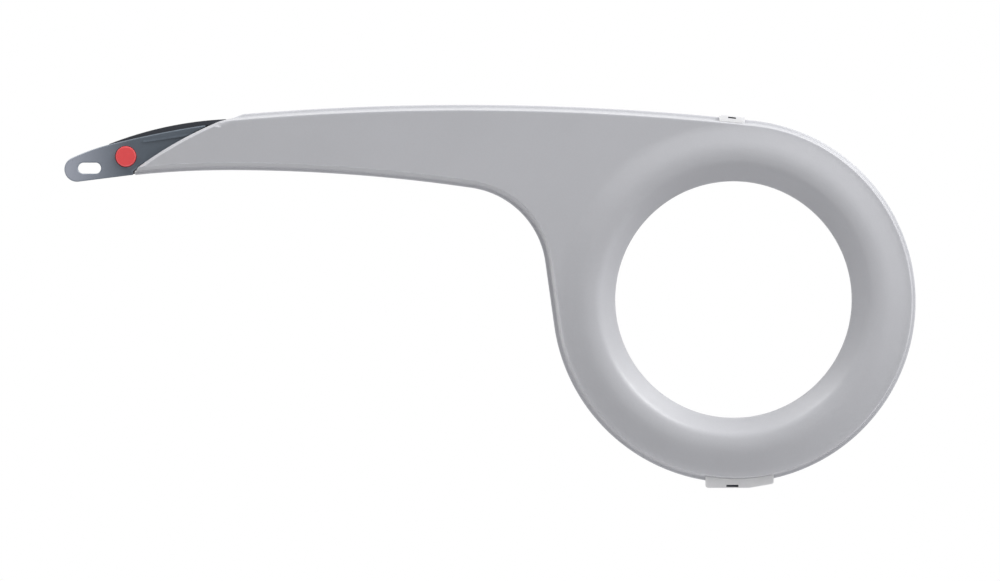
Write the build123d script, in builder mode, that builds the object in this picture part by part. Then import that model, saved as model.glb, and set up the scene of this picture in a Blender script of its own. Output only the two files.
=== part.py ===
"""Bicycle chain guard: a moulded ring and arm, with a quick-release rear bracket in the arm's tail.

Frame: the guard upright as on the bicycle, seen from outside along +Y. +X right, +Z up.
The origin is on the crank axis, half way along the lip of the crank opening.
Depths are counted from the open back rim towards the outside, which is -Y. Millimetres.
"""
import os
from math import atan, atan2, cos, degrees, hypot, radians, sin, sqrt, tan

from build123d import *

os.makedirs("parts", exist_ok=True)

# ---- Cover: outline, seen from outside
RING_R = 102.65  # outermost edge, on the back bead
RING_CENTRE = (1.0, -0.9)  # the round end sits a little forward of the crank and below it
TOP_R = 1500.0  # long arc along the arm's top
TOP_JOIN = 83.75  # degrees round the ring where the top arc runs into it
NECK_JOIN = 188.0  # degrees round the ring where the neck leaves it
NECK_R = 49.0  # hollow corner between neck and arm
BELLY = (-285.0, 73.1)  # highest point of the arm's lower edge
BELLY_R = 950.0  # lower edge from the neck to that point
TAIL_R = 500.0  # lower edge beyond it
CUT_LOW = (-337.5, 72.0)  # foot of the cover's slanted open end
CUT_HIGH_X = -276.1  # its top, on the top arc
CUT_BULGE = 2.8

# ---- Cover: section
DEPTH = 30.0  # of the flat face; the crest round the crank opening stands proud of it
WALL = 2.0
WALL_LEAN = 1.8  # the side wall leans in this far over the whole depth
BEAD_OUT = 1.8
BEAD_THICK = 1.6
FACE_ROUND = 1.2

# ---- Crank opening and the funnel round it
HOLE_R = 66.5
LIP_LENGTH = 4.0
CONE_RUN = 8.0
CONE_SLOPE = 47.0
SHOULDER_ROUND = 7.0
CREST_SLOPE = 12.0  # where the shoulder's tight round gives way to the crest's wide one
CREST_ROUND = 22.0
RIM_SLOPE = 15.0  # the rounded crest falls away outward to the cover's flat face
RIM_BASE_R = 97.5

# ---- Fits
GAP = 0.3  # between pieces that only clear each other
RUNNING_FIT = 0.05
OVERRUN = 30.0  # cutting tools start this far outside

# ---- Release button and its lock; the button is placed off the slanted end
BUTTON_R = 5.8
BUTTON_PROUD = 1.0
BUTTON_HEAD = 3.0
BUTTON_CHAMFER = 0.8
BUTTON_CLEAR = 1.6
BUTTON_ALONG = 0.3
STEM_R = 2.2
CUP_WALL = 1.6
CUP_FLOOR = 1.5
CUP_DEPTH = 9.0
SPRING_WIRE_R = 0.4
SPRING_TURNS = 3.0
LOCK_SEAT_GAP = 0.15
LOCK_FRONT_SET = 0.4  # lock's small end, behind the start of the bevel
LOCK_DISC_LAP = 0.8  # disc beyond the slot's wide side
LOCK_DISC_THICK = 1.5
LOCK_DISC_GAP = 0.2
LOCK_SCREW_R = 0.9
LOCK_SCREW_HEAD_R = 2.2
LOCK_SCREW_LENGTH = 5.0

# ---- Rear bracket, along a straight rail through the button
RAIL_SLOPE = 8.0
PLATE_UNDER_FACE = 6.0
PLATE_THICK = 3.0
PLATE_ABOVE = 7.8  # plate edge above the rail line, where the cover hides it
RIDGE_START = 11.0  # a low ridge on the plate, along the rail
RIDGE_ABOVE = 6.6
RIDGE_WIDTH = 0.9
RIDGE_HEIGHT = 0.6
PLATE_TOP_X = -297.0  # blunt end of the plate's curved top, beside the slanted end
BAR_BELOW = 4.4
BAR_ABOVE = 4.5
BAR_LENGTH = 64.0
BAR_START = 7.0
TIP = (-369.2, 73.2)
TIP_R = 7.0
TIP_TOP_ANGLE = 117.0
TIP_BOTTOM_ANGLE = 277.0
TONGUE_BULGE = 0.5  # of its top edge, from the tip to the nose
NOSE_STEP = 0.6  # where it meets the nose, below the nose's corner
PLATE_BULGE = 0.7  # of the edge that goes on from there, under the nose's rim
TONGUE_FOOT = (-325.0, 71.7)  # the tongue's lower edge aims here, beyond the cover's end
FRAME_SLOT = (-362.1, 73.85)
FRAME_SLOT_LENGTH = 13.0
FRAME_SLOT_WIDTH = 6.2
EDGE_BREAK = 0.5

# ---- Nose channel, the piece in the cover's tail that the bracket slides in
WEB_THICK = 2.5
CHANNEL_BACK = 0.5
CHANNEL_WALL = 2.0
CHANNEL_END = -240.0
NOSE_X = -351.5  # where the nose behind the rear bracket ends
NOSE_Z = 87.6
NOSE_INSET = 0.6
NOSE_ARC_R = 205.0
NOSE_HIGH_X = -284.0
NOSE_BELOW_TOP = 2.5
RIM_WIDTH = 2.8
RIM_PROUD = 2.1
RAIL_SLOT_LENGTH = 68.0
RAIL_SLOT_HALF = 3.1
RAIL_BEVEL = 1.5
RAIL_PASSAGE_GAP = 0.6

# ---- Screws that hold the nose channel in the cover
BOSS_X = -250.0
BOSS_ZS = (83.5, 95.0)
BOSS_R = 3.0
SCREW_R = 1.15
SCREW_LENGTH = 12.0
HEAD_R = 2.6
HEAD_THICK = 1.6
DRIVE_R = 1.1
DRIVE_DEPTH = 0.9

# ---- Sockets on the ring for the inner bracket's tongues
SOCKET_FRONT = 14.0
SOCKET_BACK = 2.0
SOCKET_SKIN = 1.5
SOCKET_SEAT = 0.1  # clear of the ring's wall
LOWER_LEFT, LOWER_RIGHT = -15.3, 22.8
LOWER_RAMP = 9.0
LOWER_DROP = 2.6  # below the ring
LOWER_REACH = 10.0  # up into the ring's outline, where the seat is cut
LOWER_RAMP_RISE = 2.4
LOWER_CORNER_R = 1.3
LOWER_POCKET_DROP = 1.05
LOWER_POCKET_SIZE = (13.0, 2.2)
LOWER_WINDOW_DROP = 1.5
LOWER_WINDOW_SIZE = (6.8, 1.3)
LOWER_WINDOW_X = -0.4
UPPER_LEFT, UPPER_RIGHT = -7.4, 6.7
UPPER_TOP = 1.0
UPPER_CORNER_R = 0.6
UPPER_POCKET = (-0.6, -0.1)
UPPER_POCKET_SIZE = (7.5, 1.1)
UPPER_WINDOW_SIZE = (4.5, 0.8)
CATCH_GAP = 0.1
CATCH_LENGTH = 9.0
RIVET_DEPTH = 8.0
RIVET_R = 1.0
RIVET_HEAD_R = 1.9
RIVET_HEAD_THICK = 1.0
RIVET_GRIP = 4.5
LOWER_RIVET_ANGLES = (-97.0, -84.5)
UPPER_RIVET_XS = (-6.0, 5.3)

# ---- Worked-out sizes
SHOULDER_RUN = SHOULDER_ROUND * (sin(radians(CONE_SLOPE)) - sin(radians(CREST_SLOPE)))
SHOULDER_RISE = SHOULDER_ROUND * (cos(radians(CREST_SLOPE)) - cos(radians(CONE_SLOPE)))
CREST_R = HOLE_R + CONE_RUN + SHOULDER_RUN + CREST_ROUND * sin(radians(CREST_SLOPE))
CREST_Y = -LIP_LENGTH / 2 - CONE_RUN * tan(radians(CONE_SLOPE)) - SHOULDER_RISE - CREST_ROUND * (
    1 - cos(radians(CREST_SLOPE))
)
RIM_START_R = CREST_R + CREST_ROUND * sin(radians(RIM_SLOPE))
RIM_START_Y = CREST_Y + CREST_ROUND * (1 - cos(radians(RIM_SLOPE)))
FACE_Y = RIM_START_Y + (RIM_BASE_R - RIM_START_R) * tan(radians(RIM_SLOPE))
BACK_Y = FACE_Y + DEPTH
LEAN_ANGLE = degrees(atan(WALL_LEAN / DEPTH))
SPIGOT_INSET = BEAD_OUT + WALL_LEAN + WALL + GAP
BORE_R = BUTTON_R + GAP
CUP_R = BORE_R + CUP_WALL
SPRING_R = (STEM_R + BORE_R) / 2
PLATE_FRONT = DEPTH - PLATE_UNDER_FACE
PLATE_BACK = PLATE_FRONT - PLATE_THICK
CUP_BACK = PLATE_FRONT - CUP_DEPTH
BORE_FLOOR = CUP_BACK + CUP_FLOOR
WEB_FRONT = CUP_BACK - RIM_PROUD - GAP
WEB_BACK = WEB_FRONT - WEB_THICK
BEVEL_START = WEB_FRONT - (WEB_THICK - RAIL_BEVEL)
HEAD_UNDER = PLATE_FRONT + BUTTON_PROUD - BUTTON_HEAD
LOCK_FRONT = BEVEL_START - LOCK_FRONT_SET
LOCK_DISC_FRONT = WEB_BACK - LOCK_DISC_GAP
LOCK_BACK = LOCK_DISC_FRONT - LOCK_DISC_THICK
LOCK_DISC_R = RAIL_SLOT_HALF + RAIL_BEVEL + LOCK_DISC_LAP
RAIL_PASSAGE_HALF = LOCK_DISC_R + RAIL_PASSAGE_GAP


def polar(radius, angle, centre=(0, 0)):
    """A point in the guard's plane, by radius and degrees round a centre."""
    return centre[0] + radius * cos(radians(angle)), centre[1] + radius * sin(radians(angle))


def on_arc(centre, radius, x):
    """The upper point of a circle at this x."""
    return x, centre[1] + sqrt(radius**2 - (x - centre[0]) ** 2)


def off_chord(low, high, along, out):
    """A point this far along the chord from low towards high, and this far to its left."""
    run, rise = high[0] - low[0], high[1] - low[1]
    length = hypot(run, rise)
    return low[0] + (along * run - out * rise) / length, low[1] + (along * rise + out * run) / length


TOP_CENTRE = polar(RING_R - TOP_R, TOP_JOIN, RING_CENTRE)
BELLY_CENTRE = (BELLY[0], BELLY[1] - BELLY_R)
TAIL_CENTRE = (BELLY[0], BELLY[1] - TAIL_R)
CUT_HIGH = on_arc(TOP_CENTRE, TOP_R, CUT_HIGH_X)
NOSE_LOW = (NOSE_X, NOSE_Z)
NOSE_HIGH = (NOSE_HIGH_X, on_arc(TOP_CENTRE, TOP_R, NOSE_HIGH_X)[1] - NOSE_BELOW_TOP)
NOSE_CHORD = hypot(NOSE_HIGH[0] - NOSE_LOW[0], NOSE_HIGH[1] - NOSE_LOW[1])
NOSE_CENTRE = off_chord(NOSE_LOW, NOSE_HIGH, NOSE_CHORD / 2, -sqrt(NOSE_ARC_R**2 - (NOSE_CHORD / 2) ** 2))
RING_BOTTOM = RING_CENTRE[1] - RING_R
BUTTON_X, BUTTON_Z = off_chord(CUT_LOW, CUT_HIGH, BUTTON_ALONG, CUP_R + BUTTON_CLEAR)


def at_depth(depth):
    """The plane parallel to the guard, this far outward of its back rim."""
    return Plane(origin=(0, BACK_Y - depth, 0), x_dir=(1, 0, 0), z_dir=(0, -1, 0))


def rail_point(inward, above):
    """A point (x, z) this far along the rail from the button, and this far above the rail."""
    slope = radians(RAIL_SLOPE)
    x = BUTTON_X + inward * cos(slope) - above * sin(slope)
    return x, BUTTON_Z + inward * sin(slope) + above * cos(slope)


def rail_section(inward):
    """The plane across the rail: its x is height above the rail, its y is depth."""
    slope = radians(RAIL_SLOPE)
    x, z = rail_point(inward, 0)
    return Plane(origin=(x, BACK_Y, z), x_dir=(-sin(slope), 0, cos(slope)), z_dir=(cos(slope), 0, sin(slope)))


def button_plane(depth):
    """The plane across the button's axis, this far outward of the back rim."""
    return Plane(origin=(BUTTON_X, BACK_Y - depth, BUTTON_Z), x_dir=(1, 0, 0), z_dir=(0, -1, 0))


def arc_about(centre, start, end):
    """The shorter arc about a centre from start to end."""
    first = degrees(atan2(start[1] - centre[1], start[0] - centre[0]))
    last = degrees(atan2(end[1] - centre[1], end[0] - centre[0]))
    sweep = (last - first + 180) % 360 - 180
    radius = hypot(start[0] - centre[0], start[1] - centre[1])
    return CenterArc(centre, radius, first, sweep)


def bulged(start, end, bulge):
    """The arc from start to end whose middle stands this far to the left of the chord."""
    half = hypot(end[0] - start[0], end[1] - start[1]) / 2
    return ThreePointArc(start, off_chord(start, end, half, bulge), end)


def neck_centre():
    """Centre of the hollow corner: it touches the neck's straight edge and the arm's lower arc."""
    ux, uz = polar(1, NECK_JOIN)
    level = polar(RING_R + NECK_R, NECK_JOIN, RING_CENTRE)
    ax, az = level[0] - BELLY_CENTRE[0], level[1] - BELLY_CENTRE[1]
    half = ax * uz - az * ux
    up = -half + sqrt(half**2 - ax**2 - az**2 + (BELLY_R - NECK_R) ** 2)
    return level[0] + up * uz, level[1] - up * ux


NECK_CENTRE = neck_centre()


def guard_face(inset, tail_x):
    """The guard's filled outline, moved in by inset and ended at tail_x."""
    ring_r = RING_R - inset
    ux, uz = polar(1, NECK_JOIN)
    tail_top = on_arc(TOP_CENTRE, TOP_R - inset, tail_x)
    ring_top = polar(ring_r, TOP_JOIN, RING_CENTRE)
    ring_neck = polar(ring_r, NECK_JOIN, RING_CENTRE)
    neck_low = (NECK_CENTRE[0] - ux * (NECK_R + inset), NECK_CENTRE[1] - uz * (NECK_R + inset))
    reach = (BELLY_R + inset) / (BELLY_R - NECK_R)
    neck_high = (
        BELLY_CENTRE[0] + (NECK_CENTRE[0] - BELLY_CENTRE[0]) * reach,
        BELLY_CENTRE[1] + (NECK_CENTRE[1] - BELLY_CENTRE[1]) * reach,
    )
    belly = (BELLY[0], BELLY[1] + inset)
    tail_low = on_arc(TAIL_CENTRE, TAIL_R + inset, tail_x)
    with BuildSketch() as sketch:
        with BuildLine():
            arc_about(TOP_CENTRE, tail_top, ring_top)
            CenterArc(RING_CENTRE, ring_r, TOP_JOIN, NECK_JOIN - TOP_JOIN - 360)
            Line(ring_neck, neck_low)
            arc_about(NECK_CENTRE, neck_low, neck_high)
            arc_about(BELLY_CENTRE, neck_high, belly)
            arc_about(TAIL_CENTRE, belly, tail_low)
            Line(tail_low, tail_top)
        make_face()
    return sketch.sketch


def open_end_face(gap):
    """The area beyond the cover's slanted end, kept this far off it."""
    low = off_chord(CUT_LOW, CUT_HIGH, 0, gap)
    high = off_chord(CUT_HIGH, CUT_LOW, 0, -gap)
    bottom, top, left = BELLY[1] - OVERRUN, CUT_HIGH[1] + OVERRUN, NOSE_X - OVERRUN
    with BuildSketch() as sketch:
        with BuildLine():
            Line((low[0], bottom), low)
            bulged(low, high, CUT_BULGE)
            Polyline(high, (high[0], top), (left, top), (left, bottom), (low[0], bottom))
        make_face()
    return sketch.sketch


def under_nose_face(inset):
    """The area below the nose's curved top edge, moved in by inset."""
    radius = NOSE_ARC_R - inset
    left, right = on_arc(NOSE_CENTRE, radius, NOSE_X), on_arc(NOSE_CENTRE, radius, CHANNEL_END)
    bottom = BELLY[1] - OVERRUN
    with BuildSketch() as sketch:
        with BuildLine():
            arc_about(NOSE_CENTRE, left, right)
            Polyline(right, (right[0], bottom), (left[0], bottom), left)
        make_face()
    return sketch.sketch


def funnel_tool(gap, back_y):
    """What the funnel keeps open in front of it: everything inside its surface, set back by gap."""
    cone, crest = radians(CONE_SLOPE), radians(CREST_SLOPE)
    centre = (CREST_R, CREST_Y + CREST_ROUND)
    crest_in = (centre[0] - (CREST_ROUND - gap) * sin(crest), centre[1] - (CREST_ROUND - gap) * cos(crest))
    shoulder = (
        centre[0] - (CREST_ROUND - SHOULDER_ROUND) * sin(crest),
        centre[1] - (CREST_ROUND - SHOULDER_ROUND) * cos(crest),
    )
    tight_r = SHOULDER_ROUND - gap
    cone_top = (shoulder[0] - tight_r * sin(cone), shoulder[1] - tight_r * cos(cone))
    throat_r = HOLE_R + gap
    throat_y = cone_top[1] + (cone_top[0] - throat_r) * tan(cone)
    top = (CREST_R, CREST_Y + gap)
    front_y = CREST_Y - 1
    with BuildPart() as tool:
        with BuildSketch(Plane.XY):
            with BuildLine():
                Polyline((0, back_y), (throat_r, back_y), (throat_r, throat_y), cone_top)
                arc_about(shoulder, cone_top, crest_in)
                arc_about(centre, crest_in, top)
                Polyline(top, (CREST_R, front_y), (0, front_y), (0, back_y))
            make_face()
        revolve(axis=Axis.Y)
    return tool.part


def crest_block(gap):
    """The raised ring from the crest out to the flat face, set back by gap, before the funnel is cut."""
    slope = radians(RIM_SLOPE)
    centre = (CREST_R, CREST_Y + CREST_ROUND)
    top = (CREST_R, CREST_Y + gap)
    start = (centre[0] + (CREST_ROUND - gap) * sin(slope), centre[1] - (CREST_ROUND - gap) * cos(slope))
    base_y = FACE_Y + gap
    base_r = start[0] + (base_y - start[1]) / tan(slope)
    back_y = base_y + 1
    with BuildPart() as block:
        with BuildSketch(Plane.XY):
            with BuildLine():
                Polyline(top, (HOLE_R, top[1]), (HOLE_R, back_y), (base_r, back_y), (base_r, base_y), start)
                arc_about(centre, start, top)
            make_face()
        revolve(axis=Axis.Y)
    return block.part


def cavity_tool():
    """The hollow inside the cover, with the funnel's wall left standing in it."""
    with BuildPart() as tool:
        with BuildSketch(at_depth(0)):
            add(guard_face(BEAD_OUT + WALL, NOSE_X - OVERRUN / 2))
        extrude(amount=DEPTH - WALL, taper=LEAN_ANGLE)
        add(crest_block(WALL))
        add(funnel_tool(WALL, LIP_LENGTH / 2), mode=Mode.SUBTRACT)
    return tool.part


def ring_tangent_plane():
    """The plane on the cover's top edge above the crank: x along the edge, y outward."""
    x, z = on_arc(TOP_CENTRE, TOP_R, 0)
    lean = atan2(x - TOP_CENTRE[0], z - TOP_CENTRE[1])
    return Plane(origin=(x, BACK_Y, z), x_dir=(cos(lean), 0, -sin(lean)), z_dir=(0, -1, 0))


def rivet_planes():
    """One plane per rivet, on the outer edge with its z pointing away from the ring."""
    planes = []
    y = BACK_Y - RIVET_DEPTH
    for angle in LOWER_RIVET_ANGLES:
        x, z = polar(RING_R, angle, RING_CENTRE)
        outward = polar(1, angle)
        planes.append(Plane(origin=(x, y, z), z_dir=(outward[0], 0, outward[1])))
    top = ring_tangent_plane()
    for offset in UPPER_RIVET_XS:
        point = top.from_local_coords(Vector(offset, 0, RIVET_DEPTH))
        planes.append(Plane(origin=point, z_dir=top.y_dir))
    return planes


RIVET_HEAD_TOP = -(BEAD_OUT + WALL + WALL_LEAN * RIVET_DEPTH / DEPTH + GAP)

# ---- Cover shell
with BuildPart() as cover_shell:
    with BuildSketch(at_depth(0)):
        add(guard_face(BEAD_OUT, NOSE_X))
    extrude(amount=DEPTH, taper=LEAN_ANGLE)
    fillet(cover_shell.faces().sort_by(Axis.Y)[0].edges(), FACE_ROUND)
    with BuildSketch(at_depth(0)):
        add(guard_face(0, NOSE_X))
    extrude(amount=BEAD_THICK)
    add(crest_block(0))
    add(funnel_tool(0, BACK_Y + 1), mode=Mode.SUBTRACT)
    add(cavity_tool(), mode=Mode.SUBTRACT)
    # Bosses for the nose channel's screws
    with BuildSketch(at_depth(WEB_FRONT)):
        with Locations(*[(BOSS_X, z) for z in BOSS_ZS]):
            Circle(BOSS_R)
    extrude(amount=DEPTH - WALL - WEB_FRONT + GAP)
    with BuildSketch(at_depth(WEB_FRONT)):
        with Locations(*[(BOSS_X, z) for z in BOSS_ZS]):
            Circle(SCREW_R + RUNNING_FIT)
    extrude(amount=SCREW_LENGTH - WEB_THICK + 1, mode=Mode.SUBTRACT)
    # Slanted open end
    with BuildSketch(at_depth(-1)):
        add(open_end_face(0))
    extrude(amount=DEPTH + 2, mode=Mode.SUBTRACT)
    # Rivet holes under the sockets
    for plane in rivet_planes():
        with BuildSketch(plane.offset(RIVET_HEAD_TOP - RIVET_GRIP / 2)):
            Circle(RIVET_R + RUNNING_FIT)
        extrude(amount=RIVET_GRIP + 2, mode=Mode.SUBTRACT)
cover_shell.part.label = "cover_shell"
export_step(cover_shell.part, "parts/cover_shell.step")


# ---- Nose channel: web with the rail slot, walls behind it, a rim in front along the top
def nose_face():
    """The nose's outline beyond the cover's slanted end."""
    with BuildSketch() as sketch:
        add(guard_face(NOSE_INSET, NOSE_X))
        add(open_end_face(GAP), mode=Mode.INTERSECT)
        add(under_nose_face(0), mode=Mode.INTERSECT)
    return sketch.sketch


def channel_face(inset):
    """The whole channel's outline: the spigot inside the cover and the nose outside it."""
    with BuildSketch() as sketch:
        add(guard_face(SPIGOT_INSET, NOSE_X))
        add(under_nose_face(0), mode=Mode.INTERSECT)
        add(nose_face())
        if inset:
            offset(amount=-inset, mode=Mode.REPLACE)
    return sketch.sketch


with BuildPart() as end_channel:
    with BuildSketch(at_depth(CHANNEL_BACK)):
        add(channel_face(0))
    extrude(amount=WEB_FRONT + RIM_PROUD - CHANNEL_BACK)
    with BuildSketch(at_depth(WEB_FRONT)):
        add(guard_face(0, NOSE_X))
        add(open_end_face(GAP), mode=Mode.SUBTRACT)
        add(under_nose_face(RIM_WIDTH))
    extrude(amount=RIM_PROUD + 1, mode=Mode.SUBTRACT)
    with BuildSketch(at_depth(CHANNEL_BACK - 1)):
        add(channel_face(CHANNEL_WALL))
    extrude(amount=WEB_BACK - CHANNEL_BACK + 1, mode=Mode.SUBTRACT)
    # Rail slot, bevelled behind for the lock
    with BuildSketch(rail_section(-OVERRUN)):
        half, wide = RAIL_SLOT_HALF, RAIL_SLOT_HALF + RAIL_BEVEL
        with BuildLine():
            Polyline((-half, WEB_FRONT + 1), (-half, BEVEL_START), (-wide, WEB_BACK), (-wide, WEB_BACK - 1))
            Polyline((wide, WEB_BACK - 1), (wide, WEB_BACK), (half, BEVEL_START), (half, WEB_FRONT + 1))
            Line((-half, WEB_FRONT + 1), (half, WEB_FRONT + 1))
            Line((-wide, WEB_BACK - 1), (wide, WEB_BACK - 1))
        make_face()
    extrude(amount=OVERRUN + RAIL_SLOT_LENGTH, mode=Mode.SUBTRACT)
    with BuildSketch(rail_section(-OVERRUN)):
        with Locations((0, WEB_BACK / 2)):
            Rectangle(2 * RAIL_PASSAGE_HALF, WEB_BACK)
    extrude(amount=OVERRUN + RAIL_SLOT_LENGTH, mode=Mode.SUBTRACT)
    with BuildSketch(at_depth(CHANNEL_BACK)):
        with Locations(*[(BOSS_X, z) for z in BOSS_ZS]):
            Circle(SCREW_R + RUNNING_FIT)
    extrude(amount=WEB_FRONT, mode=Mode.SUBTRACT)
end_channel.part.label = "end_channel"
export_step(end_channel.part, "parts/end_channel.step")

# ---- Channel screws, from the back through the web into the bosses
with BuildPart() as channel_screws:
    with BuildSketch(at_depth(WEB_BACK)):
        with Locations(*[(BOSS_X, z) for z in BOSS_ZS]):
            Circle(SCREW_R)
    extrude(amount=SCREW_LENGTH)
    with BuildSketch(at_depth(WEB_BACK - HEAD_THICK)):
        with Locations(*[(BOSS_X, z) for z in BOSS_ZS]):
            Circle(HEAD_R)
    extrude(amount=HEAD_THICK)
    with BuildSketch(at_depth(WEB_BACK - HEAD_THICK)):
        with Locations(*[(BOSS_X, z) for z in BOSS_ZS]):
            RegularPolygon(DRIVE_R, 6)
    extrude(amount=DRIVE_DEPTH, mode=Mode.SUBTRACT)
channel_screws.part.label = "channel_screws"
export_step(channel_screws.part, "parts/channel_screws.step")

# ---- Rear bracket: tongue with the frame slot, cup for the button, bar and T-rail in the channel
KEY_HALF = RAIL_SLOT_HALF - GAP
KEY_HEAD_HALF = RAIL_SLOT_HALF + RAIL_BEVEL - GAP
BAR_BACK = WEB_FRONT + GAP


def rail_band(start, end, below, above):
    """A strip along the rail between two heights."""
    with BuildSketch() as sketch:
        with BuildLine():
            Polyline(
                rail_point(start, -below),
                rail_point(start, above),
                rail_point(end, above),
                rail_point(end, -below),
                close=True,
            )
        make_face()
    return sketch.sketch


def tongue_face():
    """The part of the bracket's plate that stays outside the cover."""
    tip_low = polar(TIP_R, TIP_BOTTOM_ANGLE, TIP)
    tip_high = polar(TIP_R, TIP_TOP_ANGLE, TIP)
    shoulder = (NOSE_X, NOSE_Z - NOSE_STEP)
    top_end = on_arc(NOSE_CENTRE, NOSE_ARC_R - RIM_WIDTH, PLATE_TOP_X)
    with BuildSketch() as sketch:
        with BuildLine():
            arc_about(TIP, tip_low, tip_high)
            bulged(tip_high, shoulder, TONGUE_BULGE)
            bulged(shoulder, top_end, PLATE_BULGE)
            Polyline(top_end, (PLATE_TOP_X, TONGUE_FOOT[1]), TONGUE_FOOT, tip_low)
        make_face()
        add(open_end_face(GAP), mode=Mode.INTERSECT)
    return sketch.sketch


with BuildPart() as rear_bracket:
    with BuildSketch(at_depth(PLATE_BACK)):
        add(tongue_face())
        with Locations(FRAME_SLOT):
            SlotOverall(FRAME_SLOT_LENGTH, FRAME_SLOT_WIDTH, mode=Mode.SUBTRACT)
    extrude(amount=PLATE_THICK)
    chamfer(rear_bracket.faces().sort_by(Axis.Y)[0].edges(), EDGE_BREAK)
    with BuildSketch(at_depth(PLATE_BACK)):
        add(rail_band(0, BAR_LENGTH, BAR_BELOW, PLATE_ABOVE))
    extrude(amount=PLATE_THICK)
    with BuildSketch(button_plane(CUP_BACK)):
        Circle(CUP_R)
    extrude(amount=PLATE_BACK - CUP_BACK)
    with BuildSketch(rail_section(BAR_START)):
        with Locations(((BAR_ABOVE - BAR_BELOW) / 2, (BAR_BACK + PLATE_BACK) / 2)):
            Rectangle(BAR_ABOVE + BAR_BELOW, PLATE_BACK - BAR_BACK)
    extrude(amount=BAR_LENGTH - BAR_START)
    with BuildSketch(rail_section(CUP_R + GAP)):
        with Locations((0, (LOCK_DISC_FRONT + BAR_BACK) / 2)):
            Rectangle(2 * KEY_HALF, BAR_BACK - LOCK_DISC_FRONT)
        with Locations((0, (LOCK_BACK + LOCK_DISC_FRONT) / 2)):
            Rectangle(2 * KEY_HEAD_HALF, LOCK_DISC_FRONT - LOCK_BACK)
    extrude(amount=BAR_LENGTH - CUP_R - GAP)
    # Well and hole for the button
    with BuildSketch(button_plane(BORE_FLOOR)):
        Circle(BORE_R)
    extrude(amount=PLATE_FRONT, mode=Mode.SUBTRACT)
    with BuildSketch(button_plane(CUP_BACK - 1)):
        Circle(STEM_R + RUNNING_FIT)
    extrude(amount=CUP_FLOOR + 2, mode=Mode.SUBTRACT)
    # Ridge
    with BuildSketch(at_depth(PLATE_FRONT)):
        add(rail_band(RIDGE_START, BAR_LENGTH, -RIDGE_ABOVE, RIDGE_ABOVE + RIDGE_WIDTH))
        add(open_end_face(GAP + EDGE_BREAK), mode=Mode.INTERSECT)
    extrude(amount=RIDGE_HEIGHT)
rear_bracket.part.label = "rear_bracket"
export_step(rear_bracket.part, "parts/rear_bracket.step")

# ---- Release button: domed head in the well, stem through to the lock
with BuildPart() as release_button:
    with BuildSketch(button_plane(HEAD_UNDER)):
        Circle(BUTTON_R)
    extrude(amount=BUTTON_HEAD)
    chamfer(release_button.faces().sort_by(Axis.Y)[0].edges(), BUTTON_CHAMFER, BUTTON_CHAMFER / 2)
    with BuildSketch(button_plane(LOCK_FRONT)):
        Circle(STEM_R)
    extrude(amount=HEAD_UNDER - LOCK_FRONT)
    with BuildSketch(button_plane(LOCK_FRONT)):
        Circle(LOCK_SCREW_R + RUNNING_FIT)
    extrude(amount=LOCK_SCREW_LENGTH, mode=Mode.SUBTRACT)
release_button.part.label = "release_button"
export_step(release_button.part, "parts/release_button.step")

# ---- Button spring, between the well's floor and the head
SPRING_LENGTH = HEAD_UNDER - BORE_FLOOR - 2 * (SPRING_WIRE_R + RUNNING_FIT)
with BuildPart() as button_spring:
    with BuildLine():
        foot = (BUTTON_X, BACK_Y - BORE_FLOOR - SPRING_WIRE_R - RUNNING_FIT, BUTTON_Z)
        coil = Helix(SPRING_LENGTH / SPRING_TURNS, SPRING_LENGTH, SPRING_R, center=foot, direction=(0, -1, 0))
    with BuildSketch(Plane(coil @ 0, z_dir=coil % 0)):
        Circle(SPRING_WIRE_R)
    sweep(is_frenet=True)
button_spring.part.label = "button_spring"
export_step(button_spring.part, "parts/button_spring.step")

# ---- Lock: a cone drawn against the slot's bevel from behind
with BuildPart() as lock_cone:
    small_r = RAIL_SLOT_HALF + LOCK_FRONT_SET - LOCK_SEAT_GAP * sqrt(2)
    big_r = small_r + LOCK_FRONT - WEB_BACK
    with BuildSketch(Plane(origin=(BUTTON_X, BACK_Y, BUTTON_Z), x_dir=(1, 0, 0), z_dir=(0, 0, 1))):
        with BuildLine():
            Polyline(
                (0, -LOCK_FRONT),
                (small_r, -LOCK_FRONT),
                (big_r, -WEB_BACK),
                (big_r, -LOCK_DISC_FRONT),
                (LOCK_DISC_R, -LOCK_DISC_FRONT),
                (LOCK_DISC_R, -LOCK_BACK),
                (0, -LOCK_BACK),
                close=True,
            )
        make_face()
    revolve(axis=Axis((BUTTON_X, 0, BUTTON_Z), (0, 1, 0)))
    with BuildSketch(button_plane(LOCK_BACK - 1)):
        Circle(LOCK_SCREW_R + RUNNING_FIT)
    extrude(amount=LOCK_FRONT - LOCK_BACK + 2, mode=Mode.SUBTRACT)
lock_cone.part.label = "lock_cone"
export_step(lock_cone.part, "parts/lock_cone.step")

# ---- Lock screw, from behind through the lock into the stem
with BuildPart() as lock_screw:
    with BuildSketch(button_plane(LOCK_BACK - HEAD_THICK)):
        Circle(LOCK_SCREW_HEAD_R)
    extrude(amount=HEAD_THICK)
    with BuildSketch(button_plane(LOCK_BACK)):
        Circle(LOCK_SCREW_R)
    extrude(amount=LOCK_FRONT - LOCK_BACK + LOCK_SCREW_LENGTH - 1)
    with BuildSketch(button_plane(LOCK_BACK - HEAD_THICK)):
        RegularPolygon(DRIVE_R, 6)
    extrude(amount=DRIVE_DEPTH, mode=Mode.SUBTRACT)
lock_screw.part.label = "lock_screw"
export_step(lock_screw.part, "parts/lock_screw.step")


# ---- Lower socket, a wedge on the ring's underside
def seat_tool(centre, radius):
    """The cover's leaning side wall on one arc, grown by the sockets' seat clearance."""
    with BuildPart() as tool:
        with BuildSketch(at_depth(0)):
            with Locations(centre):
                Circle(radius - BEAD_OUT + SOCKET_SEAT)
        extrude(amount=DEPTH, taper=LEAN_ANGLE)
    return tool.part


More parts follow.
